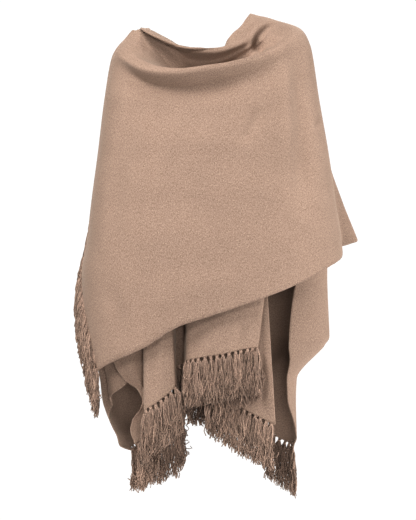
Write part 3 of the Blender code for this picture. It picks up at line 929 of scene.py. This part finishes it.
# %% One fringe: legs, knots and yarns
LEG_SPREAD, LEG_RADIUS, LEG_EASE = 0.0052, 0.00135, 0.85
KNOT_JITTER, KNOT_LIFT = 0.0011, (-0.0006, 0.0012)
YARN_RADIUS, YARN_THICK, YARN_TAPER = 0.00108, (0.85, 1.2), 0.2
SHADE_SPREAD, SHADE_LIMITS, LEG_SHADE, KNOT_SHADE = 0.24, (0.5, 1.5), 1.08, 1.14


def make_fringe(name, edge, normals, out_of, path_of, yarns, press, trim, seed, levels=None):
    """One fringe: for each knot its legs from the cloth, the knot, and a brush of yarns.

    Knot n of N lies at (n + 1/2) / N of the edge's length, moved by up to KNOT_JITTER. A yarn's
    radius shrinks by 1 - YARN_TAPER s^3 at share s of its length.
    """
    rng = np.random.default_rng(seed)
    walked = np.append(0, np.cumsum(np.linalg.norm(np.diff(edge, axis=0), axis=1)))
    count = int(round(walked[-1] / KNOT_PITCH))
    at = (np.arange(count) + 0.5) * walked[-1] / count
    at += rng.uniform(-KNOT_JITTER, KNOT_JITTER, count)
    heart = edge - normals * CLOTH / 2

    def carry(rows, places):
        """Rows along the edge, read at lengths walked."""
        return np.stack([np.interp(places, walked, rows[:, axis]) for axis in range(3)], axis=-1)

    normal = unit(carry(normals, at))
    beyond = unit(np.cross(normal, unit(carry(np.gradient(edge, axis=0), at))))
    beyond *= np.sign(np.sum(beyond * carry(out_of, at), axis=1))[:, None]
    root = carry(heart, at)
    place = at if levels is None else np.interp(at, walked, levels)
    centres = path_of(place, root, normal, beyond)
    fine = int(round(KNOT_OUT / REACH * (PATH_STEPS - 1)))
    knot = centres[:, fine] + normal * rng.uniform(*KNOT_LIFT, (count, 1))
    ahead = unit(centres[:, -1] - centres[:, fine])
    side = unit(np.cross(ahead, normal))
    out = np.cross(side, ahead)

    shares = np.linspace(0, 1, LEG_STEPS)[None, :, None]
    legs = []
    for offset in (-LEG_SPREAD, 0.0, LEG_SPREAD):
        start = carry(heart, np.clip(at + offset, 0, walked[-1])) - beyond * CLOTH * 0.6
        legs.append(blend(start[:, None], knot[:, None], shares ** LEG_EASE))
    legs = np.concatenate(legs)
    strands = yarn_paths(centres, side, ahead, out, yarns, press, trim, rng)
    thick = YARN_RADIUS * rng.uniform(*YARN_THICK, (len(strands), 1))
    taper = 1 - YARN_TAPER * np.linspace(0, 1, YARN_STEPS) ** 3
    groups = [tubes(legs, np.full(legs.shape[:2], LEG_RADIUS), np.tile(out, (3, 1))),
              knots(knot, side, ahead, out, rng.uniform(-1, 1, count)),
              tubes(strands, thick * taper, np.repeat(out, yarns, axis=0))]
    yarn_shade = np.clip(rng.normal(1.0, SHADE_SPREAD, len(strands)), *SHADE_LIMITS)
    shades = [np.full(len(groups[0][0]), LEG_SHADE), np.full(len(groups[1][0]), KNOT_SHADE),
              np.repeat(yarn_shade, YARN_STEPS * YARN_SIDES)]
    first = np.cumsum([0] + [len(points) for points, _ in groups])
    piece = put_mesh(name, np.concatenate([points for points, _ in groups]),
                     np.concatenate([turned_out(points, quads) + start for (points, quads), start
                                     in zip(groups, first)]), shade=np.concatenate(shades))
    print(name, count, "knots,", len(piece.data.polygons) * 2, "triangles")
    return piece


# %% Make the three fringes
thrown_fringe = make_fringe("thrown_fringe", wrap[0], wrap_normals[0], wrap[0] - wrap[1],
                            lie_on_the_arm, yarns=34, press=0.8, trim=(1.0, 0.9), seed=11,
                            levels=wrap_levels[0])
under_yarns = make_fringe("under_yarns", under[:, -1], under_normals[:, -1],
                          under[:, -1] - under[:, -2], hang_down, yarns=35, press=1.0,
                          trim=(0.9, 0.86), seed=12)
back_yarns = make_fringe("back_yarns", back[:, -1], back_normals[:, -1],
                         back[:, -1] - back[:, -2], hang_down, yarns=29, press=1.0,
                         trim=(0.93, 0.84), seed=13)
for piece, node in ((thrown_fringe, "wrap_fringe"), (under_yarns, "under_fringe"),
                    (back_yarns, "back_fringe")):
    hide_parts(node)

# %% [markdown]
# ## Finishes
#
# The wool is a mix of undyed brown, fawn and cream fibres, carded together before spinning,
# so the cloth is speckled at the size of a yarn and never flat in tone. Felting and brushing
# leave a short matt nap that catches light at grazing angles: a little warm sheen on a rough
# surface. The yarns of the fringe are the same wool, each with its own shade.

# %% Small helpers for shader nodes
def new_material(name):
    """A material that uses nodes, with its node tree and its surface shader."""
    material = bpy.data.materials.new(name)
    material.use_nodes = True
    return material, material.node_tree, material.node_tree.nodes["Principled BSDF"]


def add_node(tree, kind, inputs=None, **settings):
    """Add a node, set its settings, and link or set each of its inputs by name or number."""
    node = tree.nodes.new(kind)
    for key, value in settings.items():
        setattr(node, key, value)
    for key, value in (inputs or {}).items():
        if isinstance(value, bpy.types.NodeSocket):
            tree.links.new(value, node.inputs[key])
        else:
            node.inputs[key].default_value = value
    return node


def noise(tree, place, scale, detail=2.0, roughness=0.5):
    """Value of a noise texture at a place."""
    return add_node(tree, "ShaderNodeTexNoise", {
        "Vector": place, "Scale": scale, "Detail": detail, "Roughness": roughness},
    ).outputs["Fac"]


def ramp(tree, value, stops):
    """Colour ramp through (position, colour) stops."""
    node = add_node(tree, "ShaderNodeValToRGB", {"Fac": value})
    elements = node.color_ramp.elements
    while len(elements) < len(stops):
        elements.new(0.5)
    for element, (position, colour) in zip(elements, stops):
        element.position, element.color = position, (*colour, 1.0)
    return node.outputs["Color"]


def maths(tree, operation, first, second=0.0, third=0.0):
    """One arithmetic step on numbers or sockets."""
    return add_node(tree, "ShaderNodeMath", {0: first, 1: second, 2: third},
                    operation=operation).outputs["Value"]


def times(tree, colour, value):
    """A colour scaled by a number."""
    return add_node(tree, "ShaderNodeVectorMath", {0: colour, "Scale": value},
                    operation="SCALE").outputs["Vector"]


def matt_wool(tree, shader, tone, height, bump, surface):
    """Give a shader its tone, a nap lit from a height, and a matt ground with a warm sheen."""
    strength, distance = bump
    nap = add_node(tree, "ShaderNodeBump", {"Strength": strength, "Distance": distance,
                                            "Height": height}).outputs["Normal"]
    tree.links.new(tone, shader.inputs["Base Color"])
    tree.links.new(nap, shader.inputs["Normal"])
    for name, value in zip(("Roughness", "Specular IOR Level", "Sheen Weight",
                            "Sheen Roughness"), surface):
        shader.inputs[name].default_value = value
    shader.inputs["Sheen Tint"].default_value = SHEEN_TINT


print("shader helpers ready")

# %% Felted wool and yarn
DARK_FIBRE = (0.175, 0.121, 0.092)
MID_FIBRE = (0.28, 0.203, 0.159)
LIGHT_FIBRE = (0.385, 0.295, 0.239)
YARN_DARK, YARN_LIGHT = (0.13, 0.090, 0.070), (0.40, 0.294, 0.234)
SHEEN_TINT = (0.95, 0.80, 0.68, 1.0)
NAP_STRETCH = (700.0, 240.0, 1.0)
GRAIN, FINE_GRAIN, SLOW_GRAIN, TWIST = 760.0, 1500.0, 22.0, 650.0


def felted_wool():
    """Three tones picked by a noise of yarn size, drawn out along the nap, on a matt ground.

    Tone = ramp(0.62 grain + 0.38 streak); it is scaled by 0.93 + 0.14 x a slow noise. The
    height that lights the nap is 0.6 fine grain + 0.4 streak.
    """
    material, tree, shader = new_material("felted wool")
    place = add_node(tree, "ShaderNodeTexCoord").outputs["Object"]
    cloth = add_node(tree, "ShaderNodeUVMap", uv_map="cloth").outputs["UV"]
    drawn = add_node(tree, "ShaderNodeVectorMath", {0: cloth, 1: NAP_STRETCH},
                     operation="MULTIPLY").outputs["Vector"]
    grain = noise(tree, place, GRAIN, 2.0, 0.6)
    streak = noise(tree, drawn, 1.0, 2.0, 0.6)
    fine = noise(tree, place, FINE_GRAIN, 2.0, 0.7)
    slow = noise(tree, place, SLOW_GRAIN, 3.0)
    mix = maths(tree, "MULTIPLY_ADD", grain, 0.62, maths(tree, "MULTIPLY", streak, 0.38))
    tone = ramp(tree, mix, ((0.36, DARK_FIBRE), (0.50, MID_FIBRE), (0.64, LIGHT_FIBRE)))
    tone = times(tree, tone, maths(tree, "MULTIPLY_ADD", slow, 0.14, 0.93))
    height = maths(tree, "MULTIPLY_ADD", fine, 0.6, maths(tree, "MULTIPLY", streak, 0.4))
    matt_wool(tree, shader, tone, height, (0.55, 0.0006), (0.92, 0.12, 0.22, 0.45))
    return material


def fringe_yarn():
    """The wool's mid tone scaled by each yarn's own shade and by a noise along the yarn."""
    material, tree, shader = new_material("fringe yarn")
    place = add_node(tree, "ShaderNodeTexCoord").outputs["Object"]
    shade = add_node(tree, "ShaderNodeAttribute", attribute_name="shade").outputs["Fac"]
    twist = noise(tree, place, TWIST, 2.0, 0.6)
    tone = ramp(tree, twist, ((0.3, YARN_DARK), (0.7, YARN_LIGHT)))
    tone = times(tree, tone, shade)
    matt_wool(tree, shader, tone, twist, (0.5, 0.0005), (0.9, 0.15, 0.15, 0.5))
    return material


wool, yarn = felted_wool(), fringe_yarn()
for piece in (thrown_panel, under_panel, back_panel):
    piece.data.materials.append(wool)
for piece in (thrown_fringe, under_yarns, back_yarns):
    piece.data.materials.append(yarn)
print("finishes:", wool.name, "and", yarn.name)

# %% [markdown]
# ## How the pieces belong together
#
# All six pieces ride on the one body of the part, and the area of cloth that each panel
# shows is printed.

def cloth_area(piece):
    """Half the surface of a closed thin wall, in square metres."""
    return sum(face.area for face in piece.data.polygons) / 2


for piece in (thrown_panel, under_panel, back_panel, thrown_fringe, under_yarns, back_yarns):
    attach(piece, "root")
for piece in (thrown_panel, under_panel, back_panel):
    print(piece.name, "shows", round(cloth_area(piece), 3), "square metres of cloth")

# %% [markdown]
# ## Floor, light and camera
#
# Soft light shows felt best. The key lamp stands high on the left, in front. A weaker one
# hangs above, two more in front open the shadows, one lights the right side and one the back,
# and a faint sky fills the rest. The floor is a wide pale disc that fades into the white
# ground well before its edge.

# %% Floor and surroundings
FLOOR_Z, FLOOR_RADIUS, FLOOR_CORNERS = -1.45, 2.6, 96
FADE_FROM = 1.0
FLOOR_TONES = ((0.3, (0.82, 0.82, 0.82)), (0.7, (0.85, 0.85, 0.85)))
SKY_SEEN, SKY_LIGHT = 1.05, 0.02


def floor_disc():
    """A disc, pale and matt: radius (cos t, sin t), see-through by soft steps of its radius."""
    turns = np.linspace(0, 2 * np.pi, FLOOR_CORNERS, endpoint=False)
    rim = np.stack([np.cos(turns), np.sin(turns), 0 * turns], axis=1) * FLOOR_RADIUS
    floor = put_mesh("floor", rim + [0, 0, FLOOR_Z], np.arange(FLOOR_CORNERS)[None])
    material, tree, shader = new_material("pale floor")
    place = add_node(tree, "ShaderNodeTexCoord").outputs["Object"]
    level = add_node(tree, "ShaderNodeVectorMath", {0: place, 1: (1.0, 1.0, 0.0)},
                     operation="MULTIPLY").outputs["Vector"]
    radius = add_node(tree, "ShaderNodeVectorMath", {0: level}, operation="LENGTH").outputs["Value"]
    solid = add_node(tree, "ShaderNodeMapRange", {
        "Value": radius, "From Min": FADE_FROM, "From Max": FLOOR_RADIUS,
        "To Min": 1.0, "To Max": 0.0},
        interpolation_type="SMOOTHSTEP").outputs["Result"]
    speck = ramp(tree, noise(tree, place, 60.0), FLOOR_TONES)
    tree.links.new(speck, shader.inputs["Base Color"])
    tree.links.new(solid, shader.inputs["Alpha"])
    shader.inputs["Roughness"].default_value = 0.9
    floor.data.materials.append(material)
    return floor


def pale_sky():
    """White where it is looked at, and a softer white as light."""
    world = bpy.data.worlds.new("studio")
    bpy.context.scene.world = world
    world.use_nodes = True
    tree = world.node_tree
    tree.nodes.clear()
    seen = add_node(tree, "ShaderNodeLightPath").outputs["Is Camera Ray"]
    strength = add_node(tree, "ShaderNodeMapRange", {
        "Value": seen, "To Min": SKY_LIGHT, "To Max": SKY_SEEN}).outputs["Result"]
    ground = add_node(tree, "ShaderNodeBackground", {"Color": (1.0, 1.0, 1.0, 1.0),
                                                     "Strength": strength})
    add_node(tree, "ShaderNodeOutputWorld", {"Surface": ground.outputs["Background"]})


floor = floor_disc()
pale_sky()
print("floor at", FLOOR_Z, "m")

# %% Lamps and camera
LAMPS = table("""
lamp      x    y    z size power
key    -1.8 -2.6  3.0  2.0   255
above   0.0 -1.2  3.6  1.6    75
low     0.5 -4.5 -0.4  1.0    80
left   -2.0 -4.4  0.7  1.2   116
right   3.9 -0.3 -0.4  1.6   220
behind -1.2  3.6  1.4  2.4   120
""")
AIM = (0.0, 0.0, -0.45)
CAMERA_AT = (-0.0092, -5.0, -0.5175)
PICTURE_HEIGHT = 520 * 0.0023
SENSOR = 36.0
GAMMA = 0.75


def face_towards(item, target):
    """Turn a lamp or camera, which looks along its own -Z, towards a target."""
    away = np.array(item.location) - np.array(target)
    flat = np.hypot(away[0], away[1])
    item.rotation_euler = (np.arctan2(flat, away[2]), 0, np.arctan2(away[0], -away[1]))


for number, (x, y, z, size, power) in enumerate(np.stack(list(LAMPS.values()), axis=1)):
    name = f"lamp {number + 1}"
    lamp = put_in(name, bpy.data.lights.new(name, "AREA"))
    lamp.data.shape, lamp.data.size, lamp.data.energy = "DISK", size, power
    lamp.location = (x, y, z)
    face_towards(lamp, AIM)

camera = put_in("camera", bpy.data.cameras.new("camera"))
camera.location = CAMERA_AT
camera.rotation_euler = (np.pi / 2, 0, 0)
camera.data.sensor_fit, camera.data.sensor_width = "AUTO", SENSOR
camera.data.lens = SENSOR * abs(CAMERA_AT[1]) / PICTURE_HEIGHT
bpy.context.scene.camera = camera
look = bpy.context.scene.view_settings
look.view_transform, look.gamma = "Standard", GAMMA
print("lens", round(camera.data.lens, 1), "mm")
